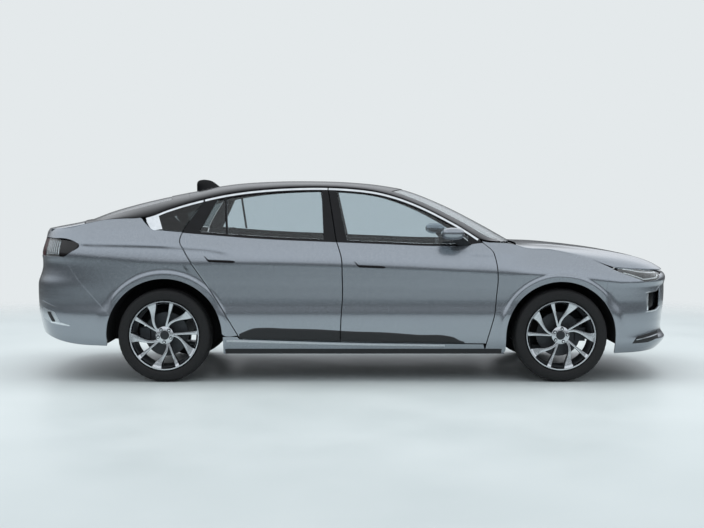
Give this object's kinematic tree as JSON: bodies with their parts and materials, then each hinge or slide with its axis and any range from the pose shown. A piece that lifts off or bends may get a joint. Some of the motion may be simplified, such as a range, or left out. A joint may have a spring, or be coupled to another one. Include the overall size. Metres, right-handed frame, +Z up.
{
  "type": "midsize sedan",
  "caption": "Fastback midsize sedan with hinged doors, hood and boot lid, steered front wheels and free-rolling wheels.",
  "frame": {"origin": "on the ground under the middle of the overall length", "axes": "+X to the nose, +Y to the car's left, +Z up"},
  "size_m": [4.9334, 2.1112, 1.518],
  "materials": {
    "paint": "gloss",
    "black_trim": "gloss",
    "glass": "clear tint",
    "lamp": "clear",
    "red_lamp": "gloss",
    "underbody": "matt",
    "iron": "rough",
    "exhaust": "dull",
    "liner": "matt",
    "dash": "matt",
    "seat": "woven",
    "rim": "machined",
    "tyre": "matt"
  },
  "bodies": {
    "body": {"front_fenders": "paint", "rear_quarters": "paint", "sills": "paint", "front_bumper": "paint", "rear_bumper": "paint", "upper_frame": "black_trim", "roof": "black_trim", "b_pillars": "black_trim", "cowl": "black_trim", "grille": "black_trim", "windscreen": "glass", "rear_window": "glass", "quarter_windows": "glass", "headlamps": "lamp", "tail_lamps": "red_lamp", "floor_pan": "underbody", "engine_block": "iron", "front_suspension": "iron", "rear_suspension": "iron", "exhaust": "exhaust", "arch_liners": "liner", "dashboard": "dash", "front_seats": "seat", "rear_seat": "seat"},
    "front_door_right": {"front_door_right": "paint", "front_glass_right": "glass", "mirror_right": "paint"},
    "front_door_left": {"front_door_left": "paint", "front_glass_left": "glass", "mirror_left": "paint"},
    "rear_door_right": {"rear_door_right": "paint", "rear_glass_right": "glass"},
    "rear_door_left": {"rear_door_left": "paint", "rear_glass_left": "glass"},
    "hood": {"hood": "paint"},
    "boot_lid": {"boot_lid": "paint"},
    "knuckle_right": {"knuckle_right": "iron"},
    "knuckle_left": {"knuckle_left": "iron"},
    "wheel_front_right": {"rim_front_right": "rim", "tyre_front_right": "tyre"},
    "wheel_front_left": {"rim_front_left": "rim", "tyre_front_left": "tyre"},
    "wheel_rear_right": {"rim_rear_right": "rim", "tyre_rear_right": "tyre"},
    "wheel_rear_left": {"rim_rear_left": "rim", "tyre_rear_left": "tyre"},
    "steering_wheel": {"steering_wheel": "dash"}
  },
  "joints": [
    {"name": "front_door_right_hinge", "type": "hinge", "parent": "body", "child": "front_door_right", "pos_m": [1.0805, -0.9375, 0.6], "axis": [0, 0, 1], "range_deg": [0, 68]},
    {"name": "front_door_left_hinge", "type": "hinge", "parent": "body", "child": "front_door_left", "pos_m": [1.0805, 0.9375, 0.6], "axis": [0, 0, -1], "range_deg": [0, 68]},
    {"name": "rear_door_right_hinge", "type": "hinge", "parent": "body", "child": "rear_door_right", "pos_m": [-0.0705, -0.9375, 0.6], "axis": [0, 0, 1], "range_deg": [0, 68]},
    {"name": "rear_door_left_hinge", "type": "hinge", "parent": "body", "child": "rear_door_left", "pos_m": [-0.0705, 0.9375, 0.6], "axis": [0, 0, -1], "range_deg": [0, 68]},
    {"name": "hood_hinge", "type": "hinge", "parent": "body", "child": "hood", "pos_m": [1.216, 0, 1.04], "axis": [0, -1, 0], "range_deg": [0, 55]},
    {"name": "boot_lid_hinge", "type": "hinge", "parent": "body", "child": "boot_lid", "pos_m": [-1.986, 0, 1.2], "axis": [0, 1, 0], "range_deg": [0, 75]},
    {"name": "steering_right", "type": "hinge", "parent": "body", "child": "knuckle_right", "pos_m": [1.5515, -0.735, 0.346], "axis": [0, 0, 1], "range_deg": [-35, 35]},
    {"name": "steering_left", "type": "hinge", "parent": "body", "child": "knuckle_left", "pos_m": [1.5515, 0.735, 0.346], "axis": [0, 0, 1], "range_deg": [-35, 35]},
    {"name": "steering_wheel_turn", "type": "hinge", "parent": "body", "child": "steering_wheel", "pos_m": [0.7997, 0.37, 0.8], "axis": [-0.9272, 0, 0.3746], "range_deg": [-510, 510]},
    {"name": "wheel_front_right_spin", "type": "hinge", "parent": "knuckle_right", "child": "wheel_front_right", "pos_m": [1.5515, -0.8, 0.346], "axis": [0, 1, 0], "continuous": true},
    {"name": "wheel_front_left_spin", "type": "hinge", "parent": "knuckle_left", "child": "wheel_front_left", "pos_m": [1.5515, 0.8, 0.346], "axis": [0, 1, 0], "continuous": true},
    {"name": "wheel_rear_right_spin", "type": "hinge", "parent": "body", "child": "wheel_rear_right", "pos_m": [-1.3935, -0.8, 0.346], "axis": [0, 1, 0], "continuous": true},
    {"name": "wheel_rear_left_spin", "type": "hinge", "parent": "body", "child": "wheel_rear_left", "pos_m": [-1.3935, 0.8, 0.346], "axis": [0, 1, 0], "continuous": true}
  ],
  "couplings": [
    {"joint": "steering_left", "follows": "steering_right", "ratio": 1},
    {"joint": "steering_wheel_turn", "follows": "steering_right", "ratio": 14.5}
  ]
}
